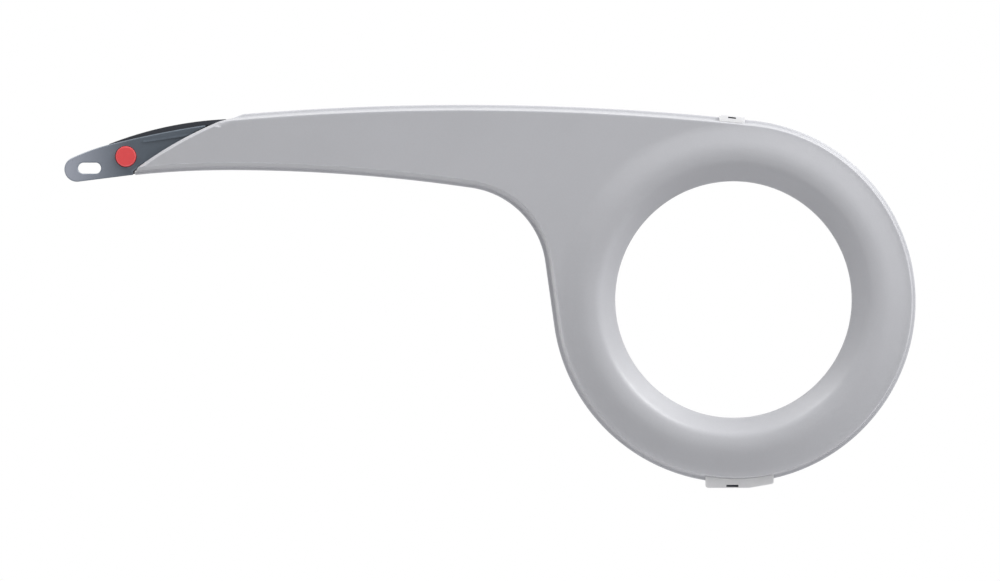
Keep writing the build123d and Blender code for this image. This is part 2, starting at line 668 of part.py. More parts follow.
LOWER_POCKET = (LOWER_WINDOW_X, RING_BOTTOM - LOWER_POCKET_DROP)
LOWER_WINDOW = (LOWER_WINDOW_X, RING_BOTTOM - LOWER_WINDOW_DROP)
with BuildPart() as lower_socket:
    with BuildSketch(at_depth(SOCKET_BACK)) as wedge:
        bottom, inside = RING_BOTTOM - LOWER_DROP, RING_BOTTOM + LOWER_REACH
        with BuildLine():
            Polyline(
                (LOWER_LEFT, inside),
                (LOWER_LEFT, bottom),
                (LOWER_RAMP, bottom),
                (LOWER_RIGHT, bottom + LOWER_RAMP_RISE),
                (LOWER_RIGHT, inside),
                close=True,
            )
        make_face()
        fillet(wedge.vertices().sort_by(Axis.Y)[:3], LOWER_CORNER_R)
    extrude(amount=SOCKET_FRONT - SOCKET_BACK)
    add(seat_tool(RING_CENTRE, RING_R), mode=Mode.SUBTRACT)
    with BuildSketch(at_depth(SOCKET_BACK)):
        with Locations(LOWER_POCKET):
            Rectangle(*LOWER_POCKET_SIZE)
    extrude(amount=SOCKET_FRONT - SOCKET_BACK - SOCKET_SKIN, mode=Mode.SUBTRACT)
    with BuildSketch(at_depth(SOCKET_BACK)):
        with Locations(LOWER_WINDOW):
            Rectangle(*LOWER_WINDOW_SIZE)
    extrude(amount=SOCKET_FRONT, mode=Mode.SUBTRACT)
    for plane in rivet_planes()[: len(LOWER_RIVET_ANGLES)]:
        with BuildSketch(plane.offset(RIVET_HEAD_TOP)):
            Circle(RIVET_R + RUNNING_FIT)
        extrude(amount=RIVET_GRIP + RUNNING_FIT, mode=Mode.SUBTRACT)
lower_socket.part.label = "lower_socket"
export_step(lower_socket.part, "parts/lower_socket.step")

# ---- Upper socket, a low block on the ring's top
UPPER_FLAT = ring_tangent_plane()


def upper_plane(depth):
    """The upper socket's own plane, this far outward of the back rim."""
    return UPPER_FLAT.offset(depth)


with BuildPart() as upper_socket:
    with BuildSketch(upper_plane(SOCKET_BACK)) as block:
        foot = -BEAD_OUT - WALL_LEAN
        with BuildLine():
            Polyline(
                (UPPER_LEFT, foot),
                (UPPER_LEFT, UPPER_TOP),
                (UPPER_RIGHT, UPPER_TOP),
                (UPPER_RIGHT, foot),
                close=True,
            )
        make_face()
        fillet(block.vertices().group_by(Axis.Y)[-1], UPPER_CORNER_R)
    extrude(amount=SOCKET_FRONT - SOCKET_BACK)
    add(seat_tool(TOP_CENTRE, TOP_R), mode=Mode.SUBTRACT)
    with BuildSketch(upper_plane(SOCKET_BACK)):
        with Locations(UPPER_POCKET):
            Rectangle(*UPPER_POCKET_SIZE)
    extrude(amount=SOCKET_FRONT - SOCKET_BACK - SOCKET_SKIN, mode=Mode.SUBTRACT)
    with BuildSketch(upper_plane(SOCKET_BACK)):
        with Locations(UPPER_POCKET):
            Rectangle(*UPPER_WINDOW_SIZE)
    extrude(amount=SOCKET_FRONT, mode=Mode.SUBTRACT)
    for plane in rivet_planes()[len(LOWER_RIVET_ANGLES) :]:
        with BuildSketch(plane.offset(RIVET_HEAD_TOP)):
            Circle(RIVET_R + RUNNING_FIT)
        extrude(amount=RIVET_GRIP + RUNNING_FIT, mode=Mode.SUBTRACT)
upper_socket.part.label = "upper_socket"
export_step(upper_socket.part, "parts/upper_socket.step")

# ---- Catches inside the sockets, seen through the windows
CATCH_BACK = SOCKET_FRONT - SOCKET_SKIN - CATCH_GAP - CATCH_LENGTH
with BuildPart() as lower_catch:
    with BuildSketch(at_depth(CATCH_BACK)):
        with Locations(LOWER_WINDOW):
            Rectangle(LOWER_POCKET_SIZE[0] - 2 * CATCH_GAP, LOWER_WINDOW_SIZE[1] - 2 * CATCH_GAP)
    extrude(amount=CATCH_LENGTH)
lower_catch.part.label = "lower_catch"
export_step(lower_catch.part, "parts/lower_catch.step")

with BuildPart() as upper_catch:
    with BuildSketch(upper_plane(CATCH_BACK)):
        with Locations(UPPER_POCKET):
            Rectangle(UPPER_POCKET_SIZE[0] - 2 * CATCH_GAP, UPPER_POCKET_SIZE[1] - 2 * CATCH_GAP)
    extrude(amount=CATCH_LENGTH)
upper_catch.part.label = "upper_catch"
export_step(upper_catch.part, "parts/upper_catch.step")

# ---- Rivets that hold both sockets on the ring
with BuildPart() as socket_rivets:
    for plane in rivet_planes():
        with BuildSketch(plane.offset(RIVET_HEAD_TOP - RIVET_HEAD_THICK)):
            Circle(RIVET_HEAD_R)
        extrude(amount=RIVET_HEAD_THICK)
        with BuildSketch(plane.offset(RIVET_HEAD_TOP)):
            Circle(RIVET_R)
        extrude(amount=RIVET_GRIP)
socket_rivets.part.label = "socket_rivets"
export_step(socket_rivets.part, "parts/socket_rivets.step")
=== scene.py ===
import math

import bmesh
import bpy
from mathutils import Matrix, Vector
from mathutils.geometry import delaunay_2d_cdt


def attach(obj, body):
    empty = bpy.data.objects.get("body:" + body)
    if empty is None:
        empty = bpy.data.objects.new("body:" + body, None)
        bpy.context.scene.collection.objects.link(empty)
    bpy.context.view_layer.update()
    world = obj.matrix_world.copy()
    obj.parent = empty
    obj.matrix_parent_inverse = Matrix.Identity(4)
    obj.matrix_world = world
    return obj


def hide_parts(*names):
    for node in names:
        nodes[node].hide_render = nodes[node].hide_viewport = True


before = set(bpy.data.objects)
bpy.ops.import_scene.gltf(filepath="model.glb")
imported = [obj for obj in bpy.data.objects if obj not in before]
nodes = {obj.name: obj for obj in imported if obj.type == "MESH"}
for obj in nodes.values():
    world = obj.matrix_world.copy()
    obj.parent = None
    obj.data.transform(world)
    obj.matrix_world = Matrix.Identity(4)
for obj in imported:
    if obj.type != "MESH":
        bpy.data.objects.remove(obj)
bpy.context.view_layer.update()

MM = 0.001

# ---- Cover outline and section, in mm, as in the CAD
RING_R = 102.65
RING_CENTRE = (1.0, -0.9)
TOP_R = 1500.0
TOP_JOIN = 83.75
NECK_JOIN = 188.0
NECK_R = 49.0
BELLY = (-285.0, 73.1)
BELLY_R = 950.0
TAIL_R = 500.0
CUT_LOW = (-337.5, 72.0)
CUT_HIGH_X = -276.1
CUT_BULGE = 2.8
DEPTH = 30.0
WALL = 2.0
WALL_LEAN = 1.8
BEAD_OUT = 1.8
BEAD_THICK = 1.6
HOLE_R = 66.5
LIP_LENGTH = 4.0
CONE_RUN = 8.0
CONE_SLOPE = math.radians(47.0)
SHOULDER_ROUND = 7.0
CREST_SLOPE = math.radians(12.0)
CREST_ROUND = 22.0
RIM_SLOPE = math.radians(15.0)
RIM_BASE_R = 97.5

# ---- What only this model has, in mm
CUT_CHAMFER = 1.4  # width of the chamfer along the slanted end
CUT_CHAMFER_DROP = 1.8
CUT_CHAMFER_REACH = 10.0  # no chamfer is looked for further than this past the slanted end's top
LIP_ROUND = 0.4
EDGE_ROUND = 0.5  # between the face and the side wall
RIM_BLEND = 0.35  # softens the crease where the crest meets the flat face
CORNER_IN = 0.93  # of EDGE_ROUND: how far its centre lies inside the leaning wall
BEAD_BLEND = 2.6  # depth where the side wall starts to run into the bead
JOIN_WITHIN = 0.004  # points closer than this are one
SHARP_EDGE = math.radians(28)

# ---- Worked-out sizes
CREST_R = HOLE_R + CONE_RUN + SHOULDER_ROUND * (math.sin(CONE_SLOPE) - math.sin(CREST_SLOPE))
CREST_R += CREST_ROUND * math.sin(CREST_SLOPE)
RIM_START_R = CREST_R + CREST_ROUND * math.sin(RIM_SLOPE)
CREST_DEPTH = DEPTH + CREST_ROUND * (1 - math.cos(RIM_SLOPE))
CREST_DEPTH += (RIM_BASE_R - RIM_START_R) * math.tan(RIM_SLOPE)
FUNNEL_DEPTH = CONE_RUN * math.tan(CONE_SLOPE) + CREST_ROUND * (1 - math.cos(CREST_SLOPE))
FUNNEL_DEPTH += SHOULDER_ROUND * (math.cos(CREST_SLOPE) - math.cos(CONE_SLOPE))
BACK_Y = CREST_DEPTH - LIP_LENGTH / 2 - FUNNEL_DEPTH
FACE_Y = BACK_Y - DEPTH

# ---- Steps along the outline
TOP_STEPS = 90
RING_STEPS = 240
NECK_STEPS = 10
CORNER_STEPS = 36
BELLY_STEPS = 60
TAIL_STEPS = 36
CUT_STEPS = 60
ROUND_STEPS = 6
INNER_ROUND_STEPS = 4

# ---- Points over the face, in mm
EDGE_ROWS = (0.6, 1.5, 3.0)  # insets of the rows that follow the outline
CREST_SPACING = 0.8  # between the rings of points round the opening
CREST_PAST = 2.0  # how far past the crest they stay that close
RIM_SPACING = 1.6
RINGS_PAST = 6.0  # how far the rings go on past the round end
GRID_PAST = 8.0  # the arm's grid starts this far past the round end
GRID_SPACING = 5.0
GRID_COLUMNS = range(-70, -17)
GRID_ROWS = range(-22, 24)
WALL_DEPTHS = (5.0, 12.0, 20.0)


def polar(radius, degrees, centre=(0.0, 0.0)):
    angle = math.radians(degrees)
    return centre[0] + radius * math.cos(angle), centre[1] + radius * math.sin(angle)


TOP_CENTRE = polar(RING_R - TOP_R, TOP_JOIN, RING_CENTRE)
CUT_HIGH = (CUT_HIGH_X, TOP_CENTRE[1] + math.sqrt(TOP_R**2 - (CUT_HIGH_X - TOP_CENTRE[0]) ** 2))
BELLY_CENTRE = (BELLY[0], BELLY[1] - BELLY_R)
TAIL_CENTRE = (BELLY[0], BELLY[1] - TAIL_R)


def neck_centre():
    """Centre of the hollow corner that touches the neck's straight edge and the arm's lower arc."""
    ux, uz = polar(1, NECK_JOIN)
    level = polar(RING_R + NECK_R, NECK_JOIN, RING_CENTRE)
    ax, az = level[0] - BELLY_CENTRE[0], level[1] - BELLY_CENTRE[1]
    half = ax * uz - az * ux
    up = -half + math.sqrt(half**2 - ax**2 - az**2 + (BELLY_R - NECK_R) ** 2)
    return level[0] + up * uz, level[1] - up * ux


NECK_CENTRE = neck_centre()


def cut_circle():
    """Centre and radius of the gently curved slanted end."""
    run, rise = CUT_HIGH[0] - CUT_LOW[0], CUT_HIGH[1] - CUT_LOW[1]
    chord = math.hypot(run, rise)
    radius = (chord**2 / 4 + CUT_BULGE**2) / (2 * CUT_BULGE)
    off = radius - CUT_BULGE
    x = (CUT_LOW[0] + CUT_HIGH[0]) / 2 + off * rise / chord
    z = (CUT_LOW[1] + CUT_HIGH[1]) / 2 - off * run / chord
    return (x, z), radius


CUT_CENTRE, CUT_R = cut_circle()


def meet(centre_a, radius_a, centre_b, radius_b, near):
    """The crossing of two circles that lies nearer to a point."""
    dx, dz = centre_b[0] - centre_a[0], centre_b[1] - centre_a[1]
    gap = math.hypot(dx, dz)
    along = (radius_a**2 - radius_b**2 + gap**2) / (2 * gap)
    across = math.sqrt(radius_a**2 - along**2)
    found = []
    for side in (-1, 1):
        x = centre_a[0] + (along * dx - side * across * dz) / gap
        z = centre_a[1] + (along * dz + side * across * dx) / gap
        found.append((x, z))
    return min(found, key=lambda p: math.hypot(p[0] - near[0], p[1] - near[1]))


def arc_points(centre, start, end, steps):
    """Points on the shorter arc from start up to but not including end."""
    first = math.atan2(start[1] - centre[1], start[0] - centre[0])
    last = math.atan2(end[1] - centre[1], end[0] - centre[0])
    sweep = (last - first + math.pi) % (2 * math.pi) - math.pi
    radius = math.hypot(start[0] - centre[0], start[1] - centre[1])
    angles = [first + sweep * k / steps for k in range(steps)]
    return [(centre[0] + radius * math.cos(a), centre[1] + radius * math.sin(a)) for a in angles]


def line_points(start, end, steps):
    return [(start[0] + (end[0] - start[0]) * k / steps, start[1] + (end[1] - start[1]) * k / steps)
            for k in range(steps)]


def outline_row(inset):
    """The cover's edge moved in by inset, from the slanted end's top round the ring to its foot."""
    ring_r = RING_R - inset
    ux, uz = polar(1, NECK_JOIN)
    start = meet(TOP_CENTRE, TOP_R - inset, CUT_CENTRE, CUT_R, CUT_HIGH)
    ring_top = polar(ring_r, TOP_JOIN, RING_CENTRE)
    ring_neck = polar(ring_r, NECK_JOIN, RING_CENTRE)
    neck_low = (NECK_CENTRE[0] - ux * (NECK_R + inset), NECK_CENTRE[1] - uz * (NECK_R + inset))
    reach = (BELLY_R + inset) / (BELLY_R - NECK_R)
    neck_high = (BELLY_CENTRE[0] + (NECK_CENTRE[0] - BELLY_CENTRE[0]) * reach,
                 BELLY_CENTRE[1] + (NECK_CENTRE[1] - BELLY_CENTRE[1]) * reach)
    belly = (BELLY[0], BELLY[1] + inset)
    end = meet(TAIL_CENTRE, TAIL_R + inset, CUT_CENTRE, CUT_R, CUT_LOW)
    if end[1] < CUT_LOW[1]:
        drop = math.sqrt((TAIL_R + inset) ** 2 - (CUT_LOW[0] - TAIL_CENTRE[0]) ** 2)
        end = (CUT_LOW[0], TAIL_CENTRE[1] + drop)
    points = arc_points(TOP_CENTRE, start, ring_top, TOP_STEPS)
    turn = TOP_JOIN + 360 - NECK_JOIN
    points += [polar(ring_r, TOP_JOIN - turn * k / RING_STEPS, RING_CENTRE) for k in range(RING_STEPS)]
    points += line_points(ring_neck, neck_low, NECK_STEPS)
    points += arc_points(NECK_CENTRE, neck_low, neck_high, CORNER_STEPS)
    points += arc_points(BELLY_CENTRE, neck_high, belly, BELLY_STEPS)
    points += arc_points(TAIL_CENTRE, belly, end, TAIL_STEPS)
    return points + [end]


def crest_depth(radius, gap):
    """Depth of the funnel, the crest and its fall to the flat face, or of a skin gap behind them."""
    level = DEPTH - gap
    centre = (CREST_R, CREST_DEPTH - CREST_ROUND)
    crest_r, shoulder_r = CREST_ROUND - gap, SHOULDER_ROUND - gap
    apart = CREST_ROUND - SHOULDER_ROUND
    shoulder = (centre[0] - apart * math.sin(CREST_SLOPE), centre[1] + apart * math.cos(CREST_SLOPE))
    if radius > centre[0] + crest_r * math.sin(RIM_SLOPE):
        start_r = centre[0] + crest_r * math.sin(RIM_SLOPE)
        slope_line = centre[1] + crest_r * math.cos(RIM_SLOPE) - (radius - start_r) * math.tan(RIM_SLOPE)
        above = slope_line - level
        return level + (above + math.sqrt(above**2 + RIM_BLEND**2)) / 2
    if radius > centre[0] - crest_r * math.sin(CREST_SLOPE):
        return centre[1] + math.sqrt(crest_r**2 - (radius - centre[0]) ** 2)
    cone_r = shoulder[0] - shoulder_r * math.sin(CONE_SLOPE)
    if radius > cone_r:
        return shoulder[1] + math.sqrt(shoulder_r**2 - (radius - shoulder[0]) ** 2)
    return shoulder[1] + shoulder_r * math.cos(CONE_SLOPE) - (cone_r - radius) * math.tan(CONE_SLOPE)


def lift(x, z):
    """How far the crest's fall still stands above the arm's flat face here."""
    return crest_depth(max(math.hypot(x, z), CREST_R), 0) - DEPTH


def cut_drop(x, z):
    """How far the chamfer at the slanted end lowers the face here."""
    if x > CUT_HIGH[0] + CUT_CHAMFER_REACH:
        return 0.0
    off_cut = CUT_R - math.hypot(x - CUT_CENTRE[0], z - CUT_CENTRE[1])
    return CUT_CHAMFER_DROP * max(0.0, 1 - off_cut / CUT_CHAMFER)


def face_depth(x, z, gap):
    """Depth of the cover's face here: flat arm, crest, funnel and, outside, the slanted end's chamfer."""
    depth = crest_depth(math.hypot(x, z), gap)
    return depth if gap else depth - cut_drop(x, z)


def cut_points(start, end, back_off=0.0):
    """Points along the slanted end, without its two ends."""
    radius = CUT_R - back_off
    first = math.atan2(start[1] - CUT_CENTRE[1], start[0] - CUT_CENTRE[0])
    last = math.atan2(end[1] - CUT_CENTRE[1], end[0] - CUT_CENTRE[0])
    angles = [first + (last - first) * k / CUT_STEPS for k in range(1, CUT_STEPS)]
    return [(CUT_CENTRE[0] + radius * math.cos(a), CUT_CENTRE[1] + radius * math.sin(a)) for a in angles]


def inside(point, loop):
    """True if the point lies in the closed loop."""
    x, z = point
    hit = False
    for (ax, az), (bx, bz) in zip(loop, loop[1:] + loop[:1]):
        if (az > z) != (bz > z) and x < (bx - ax) * (z - az) / (bz - az) + ax:
            hit = not hit
    return hit


def ring_points(hole_r, loop):
    """Rings of points round the opening, closer together up to the crest, inside the loop."""
    points = []
    radius = hole_r + CREST_SPACING
    while radius < RING_R + RINGS_PAST:
        for k in range(RING_STEPS):
            point = polar(radius, 360 * (k + 0.5) / RING_STEPS)
            if inside(point, loop):
                points.append(point)
        radius += CREST_SPACING if radius < CREST_R + CREST_PAST else RIM_SPACING
    return points


def grid_points(loop):
    """A staggered grid over the arm, inside the loop."""
    points = []
    for i in GRID_COLUMNS:
        for j in GRID_ROWS:
            point = (GRID_SPACING * (i + 0.5 * (j % 2)), GRID_SPACING * j)
            if math.hypot(*point) > RING_R + GRID_PAST and inside(point, loop):
                points.append(point)
    return points


def face_surface(edge_inset, hole_r, gap):
    """Vertices and triangles of one side of the face, between the edge row and the hole, and that row."""
    edge = outline_row(edge_inset)
    verts = edge + cut_points(edge[-1], edge[0])
    count = len(verts)
    edges = [(k, (k + 1) % count) for k in range(count)]
    verts += [polar(hole_r, 360 * k / RING_STEPS) for k in range(RING_STEPS)]
    edges += [(count + k, count + (k + 1) % RING_STEPS) for k in range(RING_STEPS)]
    rows = [outline_row(edge_inset + more) for more in EDGE_ROWS]
    for row in rows:
        verts += row[2:-2]
    if gap == 0:
        set_back = cut_points(edge[-1], edge[0], CUT_CHAMFER)[2:-2]
        first = len(verts)
        verts += set_back
        edges += [(first + k, first + k + 1) for k in range(len(set_back) - 1)]
    inner_loop = rows[-1] + cut_points(rows[-1][-1], rows[-1][0], EDGE_ROWS[-1])
    verts += ring_points(hole_r, inner_loop)
    verts += grid_points(inner_loop)
    found = delaunay_2d_cdt([Vector(v) for v in verts], edges, [], 1, 1e-5)
    points = [(v.x, v.y) for v in found[0]]
    triangles = []
    for triangle in found[2]:
        x = sum(points[k][0] for k in triangle) / 3
        z = sum(points[k][1] for k in triangle) / 3
        if math.hypot(x, z) > hole_r * math.cos(math.pi / RING_STEPS):
            triangles.append(triangle)
    return [(x, face_depth(x, z, gap), z) for x, z in points], triangles, edge


def wall_profile():
    """(inset, depth) from the face's edge down the outside, round the bead and up the inside."""
    lean = math.atan(WALL_LEAN / DEPTH)
    centre = (BEAD_OUT + WALL_LEAN + EDGE_ROUND * CORNER_IN, DEPTH - EDGE_ROUND)
    profile = []
    for k in range(ROUND_STEPS + 1):
        angle = (math.pi / 2 - lean) * k / ROUND_STEPS
        profile.append((centre[0] - EDGE_ROUND * math.sin(angle), centre[1] + EDGE_ROUND * math.cos(angle)))
    for depth in (*reversed(WALL_DEPTHS), BEAD_BLEND):
        profile.append((BEAD_OUT + WALL_LEAN * depth / DEPTH, depth))
    # The bead's rounded front, its edge and its flat back
    profile += [(BEAD_OUT - 0.1, 2.0), (1.2, BEAD_THICK), (0.7, 1.45), (0.3, 1.15), (0.08, 0.8)]
    profile += [(0.0, 0.5), (0.13, 0.15), (0.45, 0.0), (BEAD_OUT + WALL - 0.4, 0.0), (BEAD_OUT + WALL, 0.3)]
    inner = BEAD_OUT + WALL
    inner_top = DEPTH - WALL - EDGE_ROUND
    for depth in (*WALL_DEPTHS, inner_top):
        profile.append((inner + WALL_LEAN * depth / DEPTH, depth))
    centre = (inner + WALL_LEAN * inner_top / DEPTH + EDGE_ROUND, inner_top)
    for k in range(1, INNER_ROUND_STEPS + 1):
        angle = math.pi / 2 * (1 - k / INNER_ROUND_STEPS)
        profile.append((centre[0] - EDGE_ROUND * math.sin(angle), centre[1] + EDGE_ROUND * math.cos(angle)))
    return profile


def lip_profile():
    """(radius, depth) from the opening's rounded mouth along the lip, round its end and up inside."""
    mouth = crest_depth(HOLE_R + LIP_ROUND, 0)
    back = BACK_Y - LIP_LENGTH / 2
    throat = crest_depth(HOLE_R + WALL, WALL)
    profile = [(HOLE_R + LIP_ROUND, mouth), (HOLE_R + 0.12, mouth - 0.55), (HOLE_R, mouth - 1.0)]
    profile += [(HOLE_R, back + 0.5), (HOLE_R + 0.15, back + 0.15), (HOLE_R + 0.5, back)]
    inner = HOLE_R + WALL
    profile += [(inner - LIP_ROUND, back), (inner, back + LIP_ROUND), (inner, throat)]
    return profile


def wall_rows(profile):
    """The side wall's rows, raised beside the crest and lowered at the slanted end's chamfer."""
    rows = []
    for inset, depth in profile:
        on_round = depth > DEPTH - EDGE_ROUND
        row = []
        for x, z in outline_row(inset):
            drop = cut_drop(x, z) if on_round else 0.0
            row.append((x, depth + lift(x, z) * depth / DEPTH - drop, z))
        rows.append(row)
    return rows


def cut_line(edge, gap):
    """The slanted end's line on one side of the face."""
    line = [edge[-1]] + cut_points(edge[-1], edge[0]) + [edge[0]]
    return [(x, face_depth(x, z, gap), z) for x, z in line]


class Shell:
    """Vertices, as (x, depth, z) in mm, and faces, added one surface at a time."""

    def __init__(self):
        self.verts = []
        self.faces = []

    def add_surface(self, verts, faces, flip):
        base = len(self.verts)
        self.verts.extend(verts)
        for face in faces:
            order = reversed(face) if flip else face
            self.faces.append([base + k for k in order])

    def add_strip(self, first, second, closed=False):
        """Four-sided faces between two rows of as many points."""
        base = len(self.verts)
        count = len(first)
        self.verts.extend(first + second)
        for k in range(count if closed else count - 1):
            after = (k + 1) % count
            self.faces.append([base + k, base + after, base + count + after, base + count + k])

    def mesh(self, name):
        """A smooth mesh in metres, with its surfaces joined where they meet."""
        mesh = bpy.data.meshes.new(name)
        points = [(x * MM, (BACK_Y - depth) * MM, z * MM) for x, depth, z in self.verts]
        mesh.from_pydata(points, [], self.faces)
        work = bmesh.new()
        work.from_mesh(mesh)
        bmesh.ops.remove_doubles(work, verts=work.verts, dist=JOIN_WITHIN * MM)
        bmesh.ops.recalc_face_normals(work, faces=work.faces)
        work.to_mesh(mesh)
        work.free()
        for polygon in mesh.polygons:
            polygon.use_smooth = True
        mesh.set_sharp_from_angle(angle=SHARP_EDGE)
        return mesh


def build_cover():
    """The whole cover: both sides of the face, the side wall, the slanted end and the opening's lip."""
    shell = Shell()
    profile = wall_profile()
    outer_verts, outer_faces, outer_edge = face_surface(profile[0][0], HOLE_R + LIP_ROUND, 0)
    inner_verts, inner_faces, inner_edge = face_surface(profile[-1][0], HOLE_R + WALL, WALL)
    shell.add_surface(outer_verts, outer_faces, False)
    shell.add_surface(inner_verts, inner_faces, True)
    rows = wall_rows(profile)
    for first, second in zip(rows, rows[1:]):
        shell.add_strip(first, second)
    for index, flip in ((0, True), (-1, False)):
        section = [row[index] for row in rows]
        shell.add_surface(section, [range(len(section))], flip)
    shell.add_strip(cut_line(outer_edge, 0), cut_line(inner_edge, WALL))
    circles = []
    for radius, depth in lip_profile():
        points = [polar(radius, 360 * k / RING_STEPS) for k in range(RING_STEPS)]
        circles.append([(x, depth, z) for x, z in points])
    for first, second in zip(circles, circles[1:]):
        shell.add_strip(first, second, closed=True)
    return shell.mesh("cover")


# ---- Materials
EDGE_WEAR_AND_HIGHLIGHT_REACH = 0.0009  # in metres, the width of the lighter edges, partly rubbed wear and partly painted highlight
CLOUD_SHARE = 0.6  # of the colour's variation, the rest is flecks


class Graph:
    """Short ways to add nodes to one material."""

    def __init__(self, name):
        self.material = bpy.data.materials.new(name)
        self.material.use_nodes = True
        self.tree = self.material.node_tree
        self.shader = self.tree.nodes["Principled BSDF"]
        self.coords = self.tree.nodes.new("ShaderNodeTexCoord").outputs["Object"]

    def link(self, output, target):
        self.tree.links.new(output, target)

    def noise(self, scale, detail, roughness=0.55, stretch=None):
        """A noise pattern; scale is in features per metre, stretch scales it along X, Y and Z."""
        noise = self.tree.nodes.new("ShaderNodeTexNoise")
        noise.inputs["Scale"].default_value = scale
        noise.inputs["Detail"].default_value = detail
        noise.inputs["Roughness"].default_value = roughness
        source = self.coords
        if stretch:
            mapping = self.tree.nodes.new("ShaderNodeMapping")
            mapping.inputs["Scale"].default_value = stretch
            self.link(self.coords, mapping.inputs["Vector"])
            source = mapping.outputs["Vector"]
        self.link(source, noise.inputs["Vector"])
        return noise.outputs["Fac"]

    def spread(self, value, low, high, start=0.3, end=0.7):
        """Maps a pattern's start..end onto low..high."""
        node = self.tree.nodes.new("ShaderNodeMapRange")
        node.inputs["From Min"].default_value = start
        node.inputs["From Max"].default_value = end
        node.inputs["To Min"].default_value = low
        node.inputs["To Max"].default_value = high
        self.link(value, node.inputs["Value"])
        return node.outputs["Result"]

    def along_x(self, start, end):
        """0 at one X and 1 at another, in metres."""
        split = self.tree.nodes.new("ShaderNodeSeparateXYZ")
        self.link(self.coords, split.inputs[0])
        return self.spread(split.outputs["X"], 0.0, 1.0, start, end)

    def mix(self, factor, dark, light):
        """A colour between two, by factor; each may be a colour or an output."""
        node = self.tree.nodes.new("ShaderNodeMix")
        node.data_type = "RGBA"
        self.link(factor, node.inputs["Factor"])
        for socket, value in ((node.inputs[6], dark), (node.inputs[7], light)):
            if isinstance(value, tuple):
                socket.default_value = (*value, 1.0)
            else:
                self.link(value, socket)
        return node.outputs[2]

    def math(self, operation, first, second):
        node = self.tree.nodes.new("ShaderNodeMath")
        node.operation = operation
        for socket, value in zip(node.inputs, (first, second)):
            if isinstance(value, (int, float)):
                socket.default_value = value
            else:
                self.link(value, socket)
        return node.outputs[0]

    def bump(self, height, distance, strength, below=None):
        """A normal raised by height over distance, in metres, on top of the one below."""
        node = self.tree.nodes.new("ShaderNodeBump")
        node.inputs["Distance"].default_value = distance
        node.inputs["Strength"].default_value = strength
        self.link(height, node.inputs["Height"])
        if below is not None:
            self.link(below, node.inputs["Normal"])
        return node.outputs["Normal"]

    def edge_wear_and_highlight(self, reach):
        """1 on sharp outer edges, 0 on flat areas."""
        bevel = self.tree.nodes.new("ShaderNodeBevel")
        bevel.samples = 4
        bevel.inputs["Radius"].default_value = reach
        geometry = self.tree.nodes.new("ShaderNodeNewGeometry")
        dot = self.tree.nodes.new("ShaderNodeVectorMath")
        dot.operation = "DOT_PRODUCT"
        self.link(bevel.outputs["Normal"], dot.inputs[0])
        self.link(geometry.outputs["Normal"], dot.inputs[1])
        return self.spread(dot.outputs["Value"], 1.0, 0.0, start=0.92, end=0.995)


def moulded_plastic(name, colour, roughness, contrast, scatter=0.0, scatter_reach=0.003, wear_and_highlight_gain=1.12,
                    wear_and_highlight_colour=None, painted_light_ramp=None):
    """Moulded plastic: cloudy flow, fine spark-eroded grain, lighter edges (partly rubbed wear, partly
    painted highlight) and faint scuffs.

    The edge colour is the given one, or else the plastic's own times the edge gain; these edges are partly
    rubbed wear and partly painted highlight.
    The colour ramp is (colour, start_x, end_x): painted light, the plastic paling steadily towards end_x as
    more light falls there.
    """
    graph = Graph(name)
    shader = graph.shader.inputs
    # Colour: cloud and flecks between a darker and a lighter shade, then a painted light ramp and the
    # lighter edges, partly rubbed wear and partly painted highlight
    dark = tuple(c * (1 - contrast) for c in colour)
    light = tuple(min(1.0, c * (1 + contrast)) for c in colour)
    cloud = graph.spread(graph.noise(14, detail=3.0, roughness=0.5), 0.0, 1.0)
    flecks = graph.spread(graph.noise(900, detail=3.0, roughness=0.6), 0.0, 1.0)
    cloud = graph.math("MULTIPLY", cloud, CLOUD_SHARE)
    flecks = graph.math("MULTIPLY", flecks, 1 - CLOUD_SHARE)
    base = graph.mix(graph.math("ADD", cloud, flecks), dark, light)
    # Painted light: paler towards the ramp's end along X.
    if painted_light_ramp:
        base = graph.mix(graph.along_x(painted_light_ramp[1], painted_light_ramp[2]), base, painted_light_ramp[0])
    # Lighter edges: partly rubbed wear, partly painted highlight where the edges catch the light.
    wear_and_highlight_colour = wear_and_highlight_colour or tuple(min(1.0, c * wear_and_highlight_gain + 0.01) for c in colour)
    patches = graph.spread(graph.noise(160, detail=4.0, roughness=0.7), 0.3, 0.9, start=0.35, end=0.6)
    edges = graph.math("MULTIPLY", graph.edge_wear_and_highlight(EDGE_WEAR_AND_HIGHLIGHT_REACH), patches)
    graph.link(graph.mix(edges, base, wear_and_highlight_colour), shader["Base Color"])
    # Surface: scuffs that run along the piece, the mould's grain and the flow's slight waves
    scuffs = graph.noise(60, detail=6.0, roughness=0.75, stretch=(1.0, 1.0, 6.0))
    graph.link(graph.math("ADD", graph.spread(scuffs, -0.05, 0.07), roughness), shader["Roughness"])
    grain = graph.bump(graph.noise(2200, detail=2.0, roughness=0.5), 0.00003, 0.5)
    flow = graph.bump(graph.noise(22, detail=2.0, roughness=0.4), 0.0004, 0.12, grain)
    graph.link(flow, shader["Normal"])
    if scatter:
        shader["Subsurface Weight"].default_value = scatter
        shader["Subsurface Radius"].default_value = (1.0, 1.0, 1.05)
        shader["Subsurface Scale"].default_value = scatter_reach
    return graph.material


def plated_steel(name):
    """Zinc-plated steel with a fine turned grain."""
    graph = Graph(name)
    tone = graph.spread(graph.noise(300, detail=5.0, roughness=0.6, stretch=(1.0, 6.0, 1.0)), 0.0, 1.0)
    graph.link(graph.mix(tone, (0.42, 0.42, 0.44), (0.66, 0.66, 0.67)), graph.shader.inputs["Base Color"])
    graph.shader.inputs["Metallic"].default_value = 1.0
    graph.link(graph.spread(tone, 0.26, 0.42, start=0.0, end=1.0), graph.shader.inputs["Roughness"])
    graph.link(graph.bump(graph.noise(1800, detail=3.0), 0.00002, 0.4), graph.shader.inputs["Normal"])
    return graph.material
